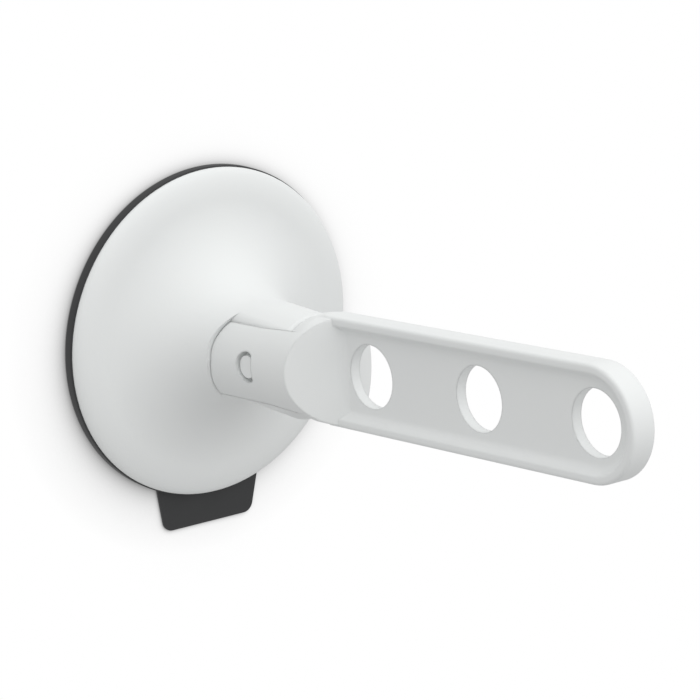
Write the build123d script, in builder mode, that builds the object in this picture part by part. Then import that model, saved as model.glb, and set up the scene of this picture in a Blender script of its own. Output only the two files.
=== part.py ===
from build123d import *
from math import cos, radians, sin, sqrt
import os

# A suction cup hook for a tiled wall: a rubber pad under a rigid cover, and a hanger arm that
# folds up about a pivot in the cover's neck. The arm turns an eccentric shaft, whose throw slides
# a draw stem in the neck, and the stem pulls the middle of the pad off the wall.
# Millimetres. The origin is the centre of the pad's wall face, the wall is the plane y = 0,
# the arm reaches towards -Y and +Z is up.

# Gaps between pieces
running_fit = 0.05
free_gap = 0.3
bonded_gap = 0.03

# Reach of a search for edges by their place
hair = 0.001

# Suction pad
pad_lip = 0.4
pad_rim = 2.9
pad_edge_fillet = 0.5
land_width = 12.4
dish_depth = 3.2
membrane = 2.6
boss_radius = 13.0
boss_floor = 1.6
boss_roof = 1.8
tab_root_width = 37.7
tab_tip_width = 29.2
tab_overhang = 9.2
tab_thickness = 0.6
tab_corner = 3.0
tab_root_fillet = 2.5

# Cover: a round dome that flares into a neck
cover_radius = 45.0
rim_edge = 0.5
rim_land = 3.0
dome_width = 8.0
dome_rise = 2.9
wall = 2.4
neck_radius = 14.0
flare_rise = 20.6
neck_reach = 10.4
tongue_width = 18.4
tongue_top_fillet = 3.2
tongue_low_chamfer = 0.6

# Pivot and arm
pivot_stand = 33.6
arm_tilt = 5.25
arm_lift = 72.0
ear_radius = 13.9
ear_back = 15.0
ear_heel = 18.6
root_radius = 14.4
root_flare = 3.0
root_shoulder = 17.0
lead_start = 12.6
lead_length = 8.0
lead_clear = 0.1
cup_wall = 4.4
root_chamfer = 35.4
root_valley = 4.0
valley_sink = 0.05
blade_height = 28.9
blade_thickness = 7.3
blade_edge_fillet = 0.9
web_thickness = 3.0
flange_width = 2.2
recess_draft = 35.0
recess_floor_fillet = 2.0
recess_mouth_fillet = 0.5
hole_radius = 8.3
first_hole = 36.45
hole_pitch = 41.2
hole_count = 3

# Eccentric shaft and draw stem
journal_radius = 4.0
key_flat = 2.2
shaft_inset = 0.6
tip_step = 1.0
tip_length = 2.2
throw = 1.5
throw_shoulder = 0.1
stem_width = 12.0
stem_height = 14.0
stem_corner = 1.5
eye_wall = 3.0
foot_radius = 10.5
foot_thickness = 2.4

# Levels outwards from the wall
waist_level = pad_rim + rim_edge + dome_rise
flare_top = waist_level + flare_rise
pivot_level = pad_rim + pivot_stand
boss_top = dish_depth + boss_floor + foot_thickness + boss_roof
foot_level = dish_depth + boss_floor

# Radii, reaches and half sizes that follow from the sizes above
pad_radius = cover_radius + pad_lip
land_inner = pad_radius - land_width
tab_reach = pad_radius + tab_overhang
dome_radius = cover_radius - dome_width
flare_width = dome_radius - neck_radius
nose_radius = sqrt(neck_radius**2 + neck_reach**2)
cup_radius = nose_radius + free_gap
tongue_half = tongue_width / 2
slot_half = tongue_half + free_gap
blade_half = blade_height / 2
blade_half_thickness = blade_thickness / 2
web_half = web_thickness / 2
throw_half = stem_width / 2 + free_gap
throw_radius = journal_radius - throw - throw_shoulder
shaft_half = ear_radius - shaft_inset
last_hole = first_hole + (hole_count - 1) * hole_pitch
arm_tip = last_hole + blade_half
recess_half = blade_half - flange_width
recess_depth = blade_half_thickness - web_half

# The throw swings evenly about the stroke's middle, so the stem is drawn out at rest
throw_rest = 90 - arm_lift / 2
throw_out = throw * cos(radians(throw_rest))
throw_up = throw * sin(radians(throw_rest))

# The root's slanted planes stand clear of the cup
chamfer_stand = cup_radius + cup_wall


def chamfer_reach(half_width):
    return (chamfer_stand - half_width * sin(radians(root_chamfer))) / cos(radians(root_chamfer))


# Planes: half a section of the round pieces, the wall, and side and plan views at the pivot
half_section = Plane(origin=(0, 0, 0), x_dir=(1, 0, 0), z_dir=(0, 0, -1))
wall_plane = Plane(origin=(0, 0, 0), x_dir=(1, 0, 0), z_dir=(0, -1, 0))
pivot = (0, -pivot_level, 0)
along = (0, -cos(radians(arm_tilt)), sin(radians(arm_tilt)))
across = (0, sin(radians(arm_tilt)), cos(radians(arm_tilt)))
neck_side = Plane(origin=pivot, x_dir=(0, -1, 0), z_dir=(-1, 0, 0))
arm_side = Plane(origin=pivot, x_dir=along, z_dir=(-1, 0, 0))
arm_plan = Plane(origin=pivot, x_dir=along, z_dir=across)
arm_axis = Axis(origin=pivot, direction=along)
raised_neck = Plane(
    origin=pivot, x_dir=(1, 0, 0), z_dir=(0, cos(radians(arm_lift)), sin(radians(arm_lift)))
)
clear_of_all = arm_tip + cover_radius


# Side view of an ear and everything before it: round behind the pivot, square at the heel
def ear_outline(gap):
    back = ear_back + gap
    heel = ear_heel + gap
    Circle(back)
    Polygon((0, 0), (-back, 0), (-heel, -ear_radius), (-heel, -clear_of_all), (0, -clear_of_all), align=None)
    Rectangle(clear_of_all, 2 * clear_of_all, align=(Align.MIN, Align.CENTER))


# Cross section of a pin with a flat on its side towards the arm's tip
def key_section(radius, flat):
    Circle(radius)
    with Locations((flat, 0)):
        Rectangle(radius, 2 * radius, align=(Align.MIN, Align.CENTER), mode=Mode.SUBTRACT)


# Cover
with BuildPart() as shell:
    with BuildSketch(half_section):
        with BuildLine():
            Line((0, pad_rim), (cover_radius, pad_rim))
            Line((cover_radius, pad_rim), (cover_radius, pad_rim + rim_edge))
            EllipticalCenterArc((dome_radius, pad_rim + rim_edge), dome_width, dome_rise, arc_size=90)
            EllipticalCenterArc((dome_radius, flare_top), flare_width, flare_rise, 180, arc_size=90)
            Line((neck_radius, flare_top), (neck_radius, pivot_level + neck_reach))
            nose_middle = nose_radius * sin(radians(45))
            ThreePointArc(
                (neck_radius, pivot_level + neck_reach),
                (nose_middle, pivot_level + nose_middle),
                (0, pivot_level + nose_radius),
            )
            Line((0, pivot_level + nose_radius), (0, pad_rim))
        make_face()
    revolve(axis=Axis.Y)

    # Hollow under the dome, an even wall below the outside
    with BuildSketch(half_section):
        with BuildLine():
            hollow_radius = cover_radius - rim_land
            hollow_waist = waist_level - wall
            hollow_width = flare_width + wall
            Line((0, pad_rim), (hollow_radius, pad_rim))
            Line((hollow_radius, pad_rim), (hollow_radius, hollow_waist))
            Line((hollow_radius, hollow_waist), (dome_radius, hollow_waist))
            EllipticalCenterArc((dome_radius, flare_top), hollow_width, flare_rise + wall, 180, arc_size=90)
            Line((dome_radius - hollow_width, flare_top), (0, flare_top))
            Line((0, flare_top), (0, pad_rim))
        make_face()
        with Locations((0, boss_top + free_gap)):
            Rectangle(2 * cover_radius, flare_top, align=(Align.CENTER, Align.MIN), mode=Mode.SUBTRACT)
    revolve(axis=Axis.Y, mode=Mode.SUBTRACT)

    # Pockets beside the tongue, which the arm's ears turn in
    for side in (1, -1):
        with BuildSketch(arm_side.offset(side * tongue_half)):
            ear_outline(free_gap)
        extrude(amount=side * neck_radius, mode=Mode.SUBTRACT)
    straight_edges = shell.edges().filter_by(Axis.Y)
    tongue_edges = straight_edges.filter_by(lambda edge: abs(edge.center().X) < tongue_half + hair)
    fillet(tongue_edges.group_by(Axis.Z)[-1], tongue_top_fillet)
    chamfer(tongue_edges.group_by(Axis.Z)[0], tongue_low_chamfer)

    # Guide for the stem, and the shaft's bearing
    with BuildSketch(wall_plane.offset(pad_rim)):
        RectangleRounded(stem_width + 2 * running_fit, stem_height + 2 * running_fit, stem_corner)
    extrude(amount=pivot_stand + throw_out + throw_radius + eye_wall + free_gap, mode=Mode.SUBTRACT)
    with BuildSketch(neck_side):
        Circle(journal_radius + running_fit)
    extrude(amount=neck_radius, both=True, mode=Mode.SUBTRACT)

# Suction pad with its pull tab
with BuildPart() as suction_pad:
    with BuildSketch(half_section):
        with BuildLine():
            shoulder = dish_depth + membrane
            dish_middle = land_inner / 2
            Line((land_inner, 0), (pad_radius, 0))
            Line((pad_radius, 0), (pad_radius, pad_rim))
            Line((pad_radius, pad_rim), (land_inner + membrane, pad_rim))
            Line((land_inner + membrane, pad_rim), (boss_radius, shoulder))
            Line((boss_radius, shoulder), (boss_radius, boss_top))
            Line((boss_radius, boss_top), (0, boss_top))
            Line((0, boss_top), (0, dish_depth))
            ThreePointArc((0, dish_depth), (dish_middle, 0.75 * dish_depth), (land_inner, 0))
        make_face()
    revolve(axis=Axis.Y)
    rim_edges = suction_pad.edges().filter_by(GeomType.CIRCLE)
    fillet(rim_edges.filter_by(lambda edge: edge.radius > pad_radius - hair), pad_edge_fillet)

    # Pull tab below the rim, faired into the land that carries it
    with BuildSketch(wall_plane) as tab:
        land_outer = pad_radius - pad_edge_fillet
        Circle(land_outer)
        Polygon(
            (-tab_root_width / 2, -land_inner),
            (-tab_tip_width / 2, -tab_reach),
            (tab_tip_width / 2, -tab_reach),
            (tab_root_width / 2, -land_inner),
            align=None,
        )
        tab_corners = tab.vertices().filter_by(lambda point: point.Y < -hair)
        fillet(tab_corners.group_by(Axis.Y)[0], tab_corner)
        tab_roots = tab.vertices().filter_by(lambda point: point.Y < -hair)
        fillet(tab_roots.group_by(Axis.Y)[-1], tab_root_fillet)
        Circle(land_outer - pad_edge_fillet, mode=Mode.SUBTRACT)
    extrude(amount=tab_thickness)

    # Seat moulded round the stem's foot
    with BuildSketch(wall_plane.offset(foot_level)):
        Circle(foot_radius + bonded_gap)
    extrude(amount=foot_thickness, mode=Mode.SUBTRACT)
    with BuildSketch(wall_plane.offset(foot_level)):
        RectangleRounded(stem_width + 2 * running_fit, stem_height + 2 * running_fit, stem_corner)
    extrude(amount=boss_top, mode=Mode.SUBTRACT)

# Draw stem
with BuildPart() as draw_stem:
    with BuildSketch(wall_plane.offset(foot_level)):
        Circle(foot_radius)
    extrude(amount=foot_thickness)
    with BuildSketch(wall_plane.offset(foot_level)):
        RectangleRounded(stem_width, stem_height, stem_corner)
    extrude(amount=pivot_level - foot_level + throw_out + throw_radius + eye_wall)

    # Upright eye that the throw works in
    throw_rise = throw - throw_up
    with BuildSketch(neck_side):
        with Locations((throw_out, throw_up + throw_rise / 2)):
            SlotCenterToCenter(throw_rise + free_gap, 2 * (throw_radius + running_fit), rotation=90)
    extrude(amount=stem_width, both=True, mode=Mode.SUBTRACT)

# Eccentric pivot shaft with keyed ends
with BuildPart() as pivot_shaft:
    with BuildSketch(neck_side):
        with Locations((throw_out, throw_up)):
            Circle(throw_radius)
    extrude(amount=throw_half, both=True)
    with BuildSketch(neck_side.offset(throw_half)):
        Circle(journal_radius)
    extrude(amount=tongue_half - throw_half)
    with BuildSketch(arm_side.offset(tongue_half)):
        key_section(journal_radius, key_flat)
    extrude(amount=shaft_half - tip_length - tongue_half)
    with BuildSketch(arm_side.offset(shaft_half - tip_length)):
        key_section(journal_radius - tip_step, key_flat)
    extrude(amount=tip_length)
    mirror(about=Plane.YZ)

# Gap in the arm's fork: the way in, the cup round the nose, the eased edge of the cup and the room
# for the neck when the arm is raised
with BuildPart() as fork_gap:
    with Locations(pivot):
        Sphere(cup_radius)
    with BuildSketch(raised_neck):
        Circle(neck_radius + free_gap)
    extrude(amount=2 * cup_radius)
    with BuildSketch(arm_plan):
        with BuildLine():
            lead_end = lead_start + lead_length
            lead_radius = sqrt(cup_radius**2 - lead_start**2)
            lead_edge = root_radius + lead_clear
            Line((0, lead_radius), (lead_start, lead_radius))
            TangentArc((lead_end, lead_edge), (lead_start, lead_radius), tangent=(-1, 0))
            Line((lead_end, lead_edge), (lead_end, cup_radius))
            Line((lead_end, cup_radius), (0, cup_radius))
            Line((0, cup_radius), (0, lead_radius))
        make_face()
    revolve(axis=arm_axis)
    with BuildSketch(arm_side):
        Rectangle(clear_of_all, 2 * clear_of_all, align=(Align.MAX, Align.CENTER))
    extrude(amount=slot_half, both=True)
    with BuildSketch(arm_side):
        Rectangle(2 * clear_of_all, 2 * clear_of_all)
    extrude(amount=slot_half, both=True, mode=Mode.INTERSECT)

# Round root of the arm, flared before the ears, with slanted planes that narrow it to the web
with BuildPart() as arm_root:
    with BuildSketch(arm_plan):
        valley_floor = web_half - valley_sink
        root_front = chamfer_reach(valley_floor) + root_valley
        Polygon(
            (-clear_of_all, 0),
            (-clear_of_all, ear_radius),
            (root_flare, ear_radius),
            (root_shoulder, root_radius),
            (root_front, root_radius),
            (root_front, 0),
            align=None,
        )
    revolve(axis=arm_axis)
    with BuildSketch(arm_side):
        ear_outline(0)
    extrude(amount=root_radius, both=True, mode=Mode.INTERSECT)
    with BuildSketch(arm_plan):
        with BuildLine():
            shoulder_start = (chamfer_reach(2 * root_radius), 2 * root_radius)
            valley_corner = (chamfer_reach(valley_floor), valley_floor)
            FilletPolyline(shoulder_start, valley_corner, (root_front, valley_floor), radius=root_valley)
            Polyline((root_front, valley_floor), (root_front, 2 * root_radius), shoulder_start)
        make_face()
        mirror(about=Plane.XZ)
    extrude(amount=root_radius, both=True, mode=Mode.SUBTRACT)

# Recess in one side of the blade, which runs back into the root
with BuildPart() as recess:
    with BuildSketch(arm_side.offset(blade_half_thickness)):
        SlotCenterPoint(((root_shoulder + last_hole) / 2, 0), (last_hole, 0), 2 * recess_half)
    extrude(amount=-recess_depth, taper=recess_draft)
    fillet(recess.faces().sort_by(Axis.X)[-1].edges(), recess_floor_fillet)

# Arm: a blade with a web and a flange all round, three hanger holes and the forked root
with BuildPart() as arm:
    with BuildSketch(arm_side):
        Rectangle(last_hole, blade_height, align=(Align.MIN, Align.CENTER))
        with Locations((last_hole, 0)):
            Circle(blade_half)
    extrude(amount=blade_half_thickness, both=True)
    outer_edges = arm.faces().filter_by(Axis.X).edges()
    fillet(outer_edges.filter_by(lambda edge: edge.center().Y < -pivot_level - hair), blade_edge_fillet)
    add(recess.part, mode=Mode.SUBTRACT)
    mirror(recess.part, about=Plane.YZ, mode=Mode.SUBTRACT)
    for side in (1, -1):
        at_side = side * blade_half_thickness
        side_face = arm.faces().filter_by_position(Axis.X, at_side - hair, at_side + hair)[0]
        fillet(side_face.inner_wires().edges(), recess_mouth_fillet)
    add(arm_root.part)
    add(fork_gap.part, mode=Mode.SUBTRACT)
    with BuildSketch(arm_side):
        with Locations(((first_hole + last_hole) / 2, 0)):
            with GridLocations(hole_pitch, 0, hole_count, 1):
                Circle(hole_radius)
    extrude(amount=blade_thickness, both=True, mode=Mode.SUBTRACT)
    with BuildSketch(arm_side):
        key_section(journal_radius + running_fit, key_flat + running_fit)
    extrude(amount=root_radius, both=True, mode=Mode.SUBTRACT)

shell.part.label = "shell"
suction_pad.part.label = "suction_pad"
draw_stem.part.label = "draw_stem"
pivot_shaft.part.label = "pivot_shaft"
arm.part.label = "arm"

os.makedirs("parts", exist_ok=True)
export_step(shell.part, "parts/shell.step")
export_step(suction_pad.part, "parts/suction_pad.step")
export_step(draw_stem.part, "parts/draw_stem.step")
export_step(pivot_shaft.part, "parts/pivot_shaft.step")
export_step(arm.part, "parts/arm.step")
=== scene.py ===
import math

import bmesh
import bpy
from mathutils import Matrix, Vector
from mathutils.geometry import intersect_line_sphere_2d


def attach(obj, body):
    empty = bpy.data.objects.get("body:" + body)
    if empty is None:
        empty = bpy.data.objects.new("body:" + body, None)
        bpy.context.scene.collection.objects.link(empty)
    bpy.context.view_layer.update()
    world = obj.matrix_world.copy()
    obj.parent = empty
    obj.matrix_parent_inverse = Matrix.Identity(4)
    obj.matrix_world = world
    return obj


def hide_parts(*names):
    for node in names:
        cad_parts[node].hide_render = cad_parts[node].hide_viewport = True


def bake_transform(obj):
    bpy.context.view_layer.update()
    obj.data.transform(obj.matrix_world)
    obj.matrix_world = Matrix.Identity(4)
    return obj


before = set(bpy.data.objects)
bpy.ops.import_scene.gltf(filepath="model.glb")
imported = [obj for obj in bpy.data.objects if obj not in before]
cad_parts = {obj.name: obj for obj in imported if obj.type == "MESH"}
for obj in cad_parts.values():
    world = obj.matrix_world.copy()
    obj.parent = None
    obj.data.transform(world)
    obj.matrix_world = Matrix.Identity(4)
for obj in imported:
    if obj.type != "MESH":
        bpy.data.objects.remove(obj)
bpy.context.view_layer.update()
print("frame loaded:", ", ".join(sorted(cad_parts)))

mm = 0.001


# sRGB hex to the linear colour that a shader wants
def hexColour(code):
    channels = [int(code[i:i + 2], 16) / 255 for i in (1, 3, 5)]
    linear = [c / 12.92 if c <= 0.04045 else ((c + 0.055) / 1.055) ** 2.4 for c in channels]
    return (*linear, 1.0)


# One node with its settings, its fixed inputs and its incoming links
def addNode(tree, kind, settings=None, values=None, links=None):
    node = tree.nodes.new(kind)
    for name, value in (settings or {}).items():
        setattr(node, name, value)
    for name, value in (values or {}).items():
        node.inputs[name].default_value = value
    for name, source in (links or {}).items():
        tree.links.new(source, node.inputs[name])
    return node


def emptyMaterial(name):
    material = bpy.data.materials.new(name)
    material.use_nodes = True
    material.node_tree.nodes.clear()
    return material, material.node_tree


def newObject(name, data):
    thing = bpy.data.objects.new(name, data)
    bpy.context.scene.collection.objects.link(thing)
    return thing


# White ABS, injection moulded in a spark-eroded tool: an even satin skin with no gloss line
whiteAbs = {
    "colour": "#E7E9E8",
    "patchColour": "#E4E6E6",   # flow marks, barely a shade off
    "patchSize": 26,            # mm
    "patchDetail": 2.0,
    "grainSize": 0.45,          # mm, the real 0.1 mm grain drawn coarser so that it shows
    "grainDetail": 1.0,
    "grainDepth": 0.012,        # mm
    "roughness": (0.62, 0.7),
    "roughBy": "grain",
    "ior": 1.53,
    "edgeSoftness": 0.35,       # mm, the small radius that a moulding has on each edge
    "edgeSamples": 6,
}
armAbs = whiteAbs | {"edgeSoftness": 0.8}   # the arm's edges are rounder

# Moulded black rubber: matt, a little dusty, with a fine orange-peel skin
padRubber = {
    "colour": "#1E1F20",
    "patchColour": "#252627",   # dust
    "patchSize": 7,             # mm
    "patchDetail": 5.0,
    "grainSize": 0.6,           # mm
    "grainDetail": 2.0,
    "grainDepth": 0.02,         # mm
    "roughness": (0.62, 0.74),
    "roughBy": "patch",
    "ior": 1.52,
    "edgeSoftness": 0.15,       # mm
    "edgeSamples": 6,
}

mixFrom, mixTo, mixResult = 6, 7, 2     # a Mix node's colour sockets, which share their names


# A moulded skin: wide patches tint it, a fine grain lifts it, and its edges are softened
def makeMoulded(name, look):
    material, tree = emptyMaterial(name)
    place = addNode(tree, "ShaderNodeTexCoord").outputs["Object"]
    noise = {}
    for kind in ("patch", "grain"):
        scale = 1 / (look[kind + "Size"] * mm)
        node = addNode(tree, "ShaderNodeTexNoise", values={"Scale": scale, "Detail": look[kind + "Detail"]},
                       links={"Vector": place})
        noise[kind] = node.outputs["Fac"]
    colour = addNode(tree, "ShaderNodeMix", {"data_type": "RGBA"},
                     {mixFrom: hexColour(look["colour"]), mixTo: hexColour(look["patchColour"])},
                     {0: noise["patch"]})
    low, high = look["roughness"]
    rough = addNode(tree, "ShaderNodeMapRange", values={"To Min": low, "To Max": high},
                    links={"Value": noise[look["roughBy"]]})
    edge = addNode(tree, "ShaderNodeBevel", {"samples": look["edgeSamples"]},
                   {"Radius": look["edgeSoftness"] * mm})
    bump = addNode(tree, "ShaderNodeBump", values={"Strength": 1.0, "Distance": look["grainDepth"] * mm},
                   links={"Height": noise["grain"], "Normal": edge.outputs["Normal"]})
    shader = addNode(tree, "ShaderNodeBsdfPrincipled", values={"IOR": look["ior"]},
                     links={"Base Color": colour.outputs[mixResult], "Roughness": rough.outputs["Result"],
                            "Normal": bump.outputs["Normal"]})
    addNode(tree, "ShaderNodeOutputMaterial", links={"Surface": shader.outputs["BSDF"]})
    return material


coverPlastic = makeMoulded("whiteAbs", whiteAbs)
armPlastic = makeMoulded("whiteAbsSoftEdged", armAbs)
padMaterial = makeMoulded("mouldedRubber", padRubber)
mouldings = {
    "shell": coverPlastic,
    "arm": armPlastic,
    "pivot_shaft": coverPlastic,
    "draw_stem": coverPlastic,
}
for nodeName, material in mouldings.items():
    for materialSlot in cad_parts[nodeName].material_slots:
        materialSlot.material = material
print("white plastic on", len(mouldings), "CAD nodes")


# Corners of (across, along, radius) in mm, each one rounded by an arc of its radius
def roundedPath(corners, closed, steps):
    path = []
    for i, (x, y, radius) in enumerate(corners):
        here = Vector((x, y))
        isEnd = not closed and i in (0, len(corners) - 1)
        if isEnd or radius == 0:
            path.append(here)
            continue
        before = (Vector(corners[i - 1][:2]) - here).normalized()
        after = (Vector(corners[(i + 1) % len(corners)][:2]) - here).normalized()
        half = before.angle(after) / 2
        centre = here + (before + after).normalized() * radius / math.sin(half)
        first = here + before * radius / math.tan(half) - centre
        last = here + after * radius / math.tan(half) - centre
        turn = first.angle_signed(last)
        for step in range(steps + 1):
            path.append(centre + Matrix.Rotation(-turn * step / steps, 2) @ first)
    return path


# Turns a profile about the pad's axis: across is the radius, along is the distance from the wall
def makeLatheNodes():
    tree = bpy.data.node_groups.new("lathe", "GeometryNodeTree")
    for name, kind in (("Profile", "Geometry"), ("Segments", "Int"), ("Guide Radius", "Float"),
                       ("Weld", "Float"), ("Material", "Material")):
        tree.interface.new_socket(name, in_out="INPUT", socket_type="NodeSocket" + kind)
    tree.interface.new_socket("Solid", in_out="OUTPUT", socket_type="NodeSocketGeometry")
    given = addNode(tree, "NodeGroupInput").outputs
    section = addNode(tree, "GeometryNodeMeshToCurve", links={"Mesh": given["Profile"]})
    guide = addNode(tree, "GeometryNodeCurvePrimitiveCircle",
                    links={"Resolution": given["Segments"], "Radius": given["Guide Radius"]})
    upright = addNode(tree, "GeometryNodeSetCurveNormal", {"mode": "Z_UP"},
                      links={"Curve": guide.outputs["Curve"]})
    swept = addNode(tree, "GeometryNodeCurveToMesh",
                    links={"Curve": upright.outputs["Curve"], "Profile Curve": section.outputs["Curve"]})
    welded = addNode(tree, "GeometryNodeMergeByDistance",
                     links={"Geometry": swept.outputs["Mesh"], "Distance": given["Weld"]})
    turned = addNode(tree, "GeometryNodeTransform", values={"Rotation": (math.radians(-90), 0, 0)},
                     links={"Geometry": welded.outputs["Geometry"]})
    real = addNode(tree, "GeometryNodeRealizeInstances", links={"Geometry": turned.outputs["Geometry"]})
    painted = addNode(tree, "GeometryNodeSetMaterial",
                      links={"Geometry": real.outputs["Geometry"], "Material": given["Material"]})
    addNode(tree, "NodeGroupOutput", links={"Solid": painted.outputs["Geometry"]})
    return tree


# The evaluated mesh as plain geometry, with its normals outward and its edges sharp over an angle
def plainMesh(piece, sharpOver):
    ready = piece.evaluated_get(bpy.context.evaluated_depsgraph_get())
    mesh = bpy.data.meshes.new_from_object(ready)
    work = bmesh.new()
    work.from_mesh(mesh)
    bmesh.ops.recalc_face_normals(work, faces=work.faces)
    for face in work.faces:
        face.smooth = True
    work.to_mesh(mesh)
    work.free()
    mesh.set_sharp_from_angle(angle=math.radians(sharpOver))
    piece.modifiers.clear()
    piece.data = mesh


latheNodes = makeLatheNodes()
turning = {
    "guideRadius": 1.0,         # mm, of the circle that carries the profile round
    "weld": 0.002,              # mm, joins the points that meet on the axis
}


def makeTurned(name, path, closed, look):
    edges = [(i, i + 1) for i in range(len(path) - 1)]
    if closed:
        edges.append((len(path) - 1, 0))
    mesh = bpy.data.meshes.new(name)
    mesh.from_pydata([((x - turning["guideRadius"]) * mm, y * mm, 0) for x, y in path], edges, [])
    piece = newObject(name, mesh)
    lathe = piece.modifiers.new("lathe", "NODES")
    lathe.node_group = latheNodes
    settings = {
        "Segments": look["segments"],
        "Guide Radius": turning["guideRadius"] * mm,
        "Weld": turning["weld"] * mm,
        "Material": padMaterial,
    }
    for socket in latheNodes.interface.items_tree:
        if socket.name in settings:
            lathe[socket.identifier] = settings[socket.name]
    plainMesh(piece, look["sharpOver"])
    return piece


# Flat rubber ring that the cover stands on and that seals on the wall
padRing = {
    "inner": 33.0,              # mm
    "outer": 45.4,
    "thickness": 2.9,
    "edgeRadius": 0.5,
    "edgeSteps": 6,
    "segments": 224,
    "sharpOver": 40,            # degrees
}


def makePadRing(look):
    corners = [(look["inner"], 0, 0),
               (look["outer"], 0, look["edgeRadius"]),
               (look["outer"], look["thickness"], look["edgeRadius"]),
               (look["inner"], look["thickness"], 0)]
    return makeTurned("padRing", roundedPath(corners, True, look["edgeSteps"]), True, look)


# Hollow middle of the pad, moulded round the stem's foot; the stem draws it off the wall
padDish = {
    "radius": padRing["inner"],
    "depth": 3.2,               # mm
    "dishSteps": 28,
    "edgeHeight": 3.23,
    "shoulderHeight": 5.8,
    "bossRadius": 13.0,
    "bossHeight": 9.0,
    "bossEdge": 0.6,
    "mouthRadius": 8.9,
    "footRadius": 10.53,
    "footFrom": 4.8,
    "footTo": 7.2,
    "edgeSteps": 4,
    "segments": 192,
    "sharpOver": 40,            # degrees
}


def makePadDish(look):
    shares = [i / look["dishSteps"] for i in range(look["dishSteps"] + 1)]
    hollow = [(look["radius"] * share, look["depth"] * (1 - share ** 2)) for share in shares]
    corners = [(look["radius"], look["edgeHeight"], 0),
               (look["bossRadius"], look["shoulderHeight"], look["bossEdge"]),
               (look["bossRadius"], look["bossHeight"], look["bossEdge"]),
               (look["mouthRadius"], look["bossHeight"], look["bossEdge"]),
               (look["mouthRadius"], look["footTo"], 0),
               (look["footRadius"], look["footTo"], 0),
               (look["footRadius"], look["footFrom"], 0),
               (0, look["footFrom"], 0)]
    path = hollow + [tuple(point) for point in roundedPath(corners, False, look["edgeSteps"])]
    return makeTurned("padDish", path, False, look)


# Thin tab to peel the pad off, running out of the ring at the bottom
padTab = {
    "rootHalf": 18.85,          # mm, half width where its side line meets rootAt
    "rootAt": padRing["inner"],
    "tipHalf": 14.6,
    "tipAt": 54.6,
    "tipRadius": 3.0,
    "rootRadius": 2.5,
    "ringRadius": padRing["outer"] - padRing["edgeRadius"],     # the ring's flat back ends here
    "skirt": 4.5,
    "arcSteps": 24,
    "thickness": 0.6,
    "edgeSteps": 8,
    "sharpOver": 40,            # degrees
}


# From the ring's round edge: a short skirt along it, the rounded root, then the side line to the tip
def makePadTab(look):
    sideFrom = Vector((look["rootHalf"], -look["rootAt"]))
    tip = Vector((look["tipHalf"], -look["tipAt"]))
    root = intersect_line_sphere_2d(sideFrom, tip, Vector((0, 0)), look["ringRadius"])[0]
    skirt = root + Vector((-root.y, root.x)).normalized() * look["skirt"]
    half = [(*skirt, 0), (*root, look["rootRadius"]), (*tip, look["tipRadius"])]
    corners = half + [(-x, y, radius) for x, y, radius in reversed(half)]
    reach = math.atan2(skirt.x, -skirt.y)
    turns = [reach * (2 * i / look["arcSteps"] - 1) for i in range(look["arcSteps"] + 1)]
    ringEdge = [(look["ringRadius"] * math.sin(turn), -look["ringRadius"] * math.cos(turn))
                for turn in turns]
    outline = [tuple(point) for point in roundedPath(corners, False, look["edgeSteps"])] + ringEdge
    back = [(x * mm, 0, z * mm) for x, z in outline]
    front = [(x * mm, -look["thickness"] * mm, z * mm) for x, z in outline]
    count = len(outline)
    sides = [(i, (i + 1) % count, count + (i + 1) % count, count + i) for i in range(count)]
    mesh = bpy.data.meshes.new("padTab")
    mesh.from_pydata(back + front, [], [tuple(range(count)), tuple(range(count, 2 * count)), *sides])
    mesh.materials.append(padMaterial)
    piece = newObject("padTab", mesh)
    plainMesh(piece, look["sharpOver"])
    return piece


ring = makePadRing(padRing)
tab = makePadTab(padTab)
dish = makePadDish(padDish)
for piece in (ring, tab):
    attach(piece, "base")
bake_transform(dish)
for piece in (ring, tab, dish):
    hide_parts("suction_pad")
    print(piece.name, len(piece.data.polygons), "faces")


# White wall behind the hook, seen from the front only: a glow with a painted shade round the pad, darker
# where the pad and cover close off the open space nearby
wallSheet = {
    "size": 3.0,                # m
    "gap": 0.1,                 # mm behind the pad
    "shadeReach": 18,           # mm
    "shadeSamples": 24,
    "shadeDepth": 1.4,
    "lightFrom": (0.1, -1.0, 0.28),     # the shade leans away from this side
    "openLevel": 0.97,          # this open counts as plain white
}


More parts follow.
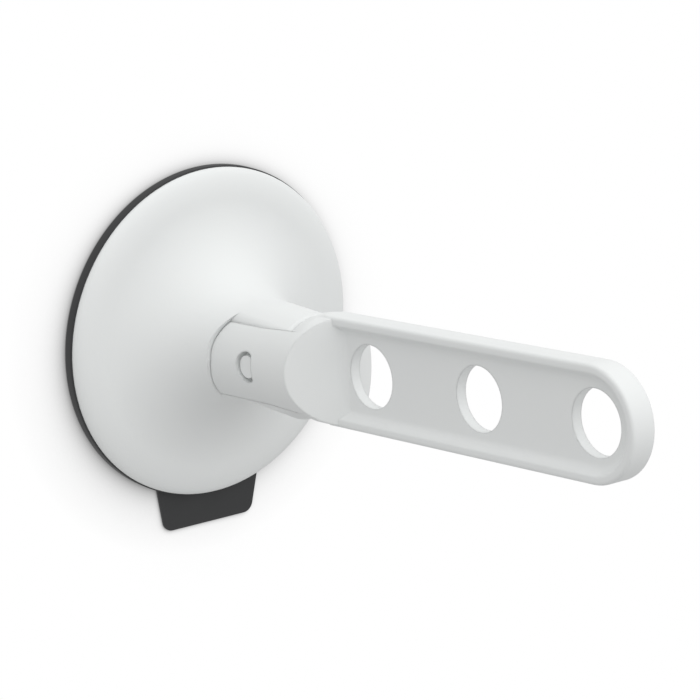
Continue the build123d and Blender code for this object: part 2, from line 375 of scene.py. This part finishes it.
def makeWall(look):
    half = look["size"] / 2
    level = look["gap"] * mm
    corners = [(-half, level, -half), (half, level, -half), (half, level, half), (-half, level, half)]
    mesh = bpy.data.meshes.new("wall")
    mesh.from_pydata(corners, [], [(0, 1, 2, 3)])
    wall = newObject("wall", mesh)
    material, tree = emptyMaterial("whiteWall")
    path = addNode(tree, "ShaderNodeLightPath")
    side = addNode(tree, "ShaderNodeNewGeometry")
    lean = addNode(tree, "ShaderNodeCombineXYZ",
                   values=dict(zip("XYZ", Vector(look["lightFrom"]).normalized())))
    # painted shade: ambient occlusion near the pad darkens the wall's glow, leaning away from lightFrom
    openSky = addNode(tree, "ShaderNodeAmbientOcclusion", {"samples": look["shadeSamples"]},
                      {"Distance": look["shadeReach"] * mm}, {"Normal": lean.outputs["Vector"]})
    shade = addNode(tree, "ShaderNodeMath", {"operation": "POWER"}, {1: look["shadeDepth"]},
                    {0: openSky.outputs["AO"]})
    white = addNode(tree, "ShaderNodeMapRange", values={"From Max": look["openLevel"]},
                    links={"Value": shade.outputs[0]})
    glow = addNode(tree, "ShaderNodeMath", {"operation": "MULTIPLY"},
                   links={0: path.outputs["Is Camera Ray"], 1: white.outputs["Result"]})
    paint = addNode(tree, "ShaderNodeEmission", links={"Strength": glow.outputs[0]})
    clear = addNode(tree, "ShaderNodeBsdfTransparent")
    both = addNode(tree, "ShaderNodeMixShader",
                   links={0: side.outputs["Backfacing"], 1: paint.outputs[0], 2: clear.outputs[0]})
    addNode(tree, "ShaderNodeOutputMaterial", links={"Surface": both.outputs[0]})
    mesh.materials.append(material)
    wall.visible_shadow = False
    wall.visible_diffuse = False
    wall.visible_glossy = False


makeWall(wallSheet)

# Soft studio: a white surround that is paler above than below, and one large panel above the hook
studio = {
    "colour": "#FFFFFF",
    "surroundBelow": 0.47,
    "surroundAbove": 0.82,
    "background": 1.0,
    "panelPower": 14.5,         # W
    "panelSize": 2.4,           # m
    "panelAt": (0.05, -0.9, 1.15),
    "aim": (0.0, -0.05, 0.0),
}


def makeStudio(look):
    world = bpy.data.worlds.new("studio")
    world.use_nodes = True
    tree = world.node_tree
    tree.nodes.clear()
    path = addNode(tree, "ShaderNodeLightPath")
    mirrored = addNode(tree, "ShaderNodeMath", {"operation": "MAXIMUM"},
                       links={0: path.outputs["Is Glossy Ray"], 1: path.outputs["Is Transmission Ray"]})
    seen = addNode(tree, "ShaderNodeMath", {"operation": "MAXIMUM"},
                   links={0: path.outputs["Is Camera Ray"], 1: mirrored.outputs[0]})
    place = addNode(tree, "ShaderNodeTexCoord").outputs["Generated"]
    towards = addNode(tree, "ShaderNodeSeparateXYZ", links={0: place})
    span = {"From Min": -1, "To Min": look["surroundBelow"], "To Max": look["surroundAbove"]}
    around = addNode(tree, "ShaderNodeMapRange", values=span, links={"Value": towards.outputs["Z"]})
    level = addNode(tree, "ShaderNodeMapRange", values={"To Max": look["background"]},
                    links={"Value": seen.outputs[0], "To Min": around.outputs["Result"]})
    sky = addNode(tree, "ShaderNodeBackground", values={"Color": hexColour(look["colour"])},
                  links={"Strength": level.outputs["Result"]})
    addNode(tree, "ShaderNodeOutputWorld", links={"Surface": sky.outputs[0]})
    bpy.context.scene.world = world
    lamp = bpy.data.lights.new("panel", "AREA")
    lamp.energy = look["panelPower"]
    lamp.size = look["panelSize"]
    panel = newObject("panel", lamp)
    panel.location = look["panelAt"]
    panel.rotation_euler = (Vector(look["aim"]) - panel.location).to_track_quat("-Z", "Y").to_euler()


makeStudio(studio)

# Camera, fitted to the round rim and the arm in the photograph
cameraFit = {
    "azimuth": -38.972,         # degrees
    "elevation": 15.772,
    "distance": 827.852,        # mm from the aim
    "rimCentre": (0, -2.9, 0),  # mm
    "aimRight": 37.419,         # mm, in the picture's plane
    "aimUp": -4.962,
    "focal": 157.963,           # mm
    "sensor": 36,               # mm
    "nearClip": 10,             # mm
}


def makeCamera(fit):
    turn = math.radians(fit["azimuth"])
    rise = math.radians(fit["elevation"])
    back = Vector((math.sin(turn) * math.cos(rise), -math.cos(turn) * math.cos(rise), math.sin(rise)))
    right = Vector((math.cos(turn), math.sin(turn), 0))
    up = back.cross(right)
    data = bpy.data.cameras.new("camera")
    data.lens = fit["focal"]
    data.sensor_width = fit["sensor"]
    data.clip_start = fit["nearClip"] * mm
    camera = newObject("camera", data)
    aim = Vector(fit["rimCentre"]) + fit["aimRight"] * right + fit["aimUp"] * up
    place = (aim + fit["distance"] * back) * mm
    camera.matrix_world = Matrix.Translation(place) @ Matrix((right, up, back)).transposed().to_4x4()
    bpy.context.scene.camera = camera


makeCamera(cameraFit)
bpy.context.scene.view_settings.view_transform = "Standard"
print("stage, light and camera set")
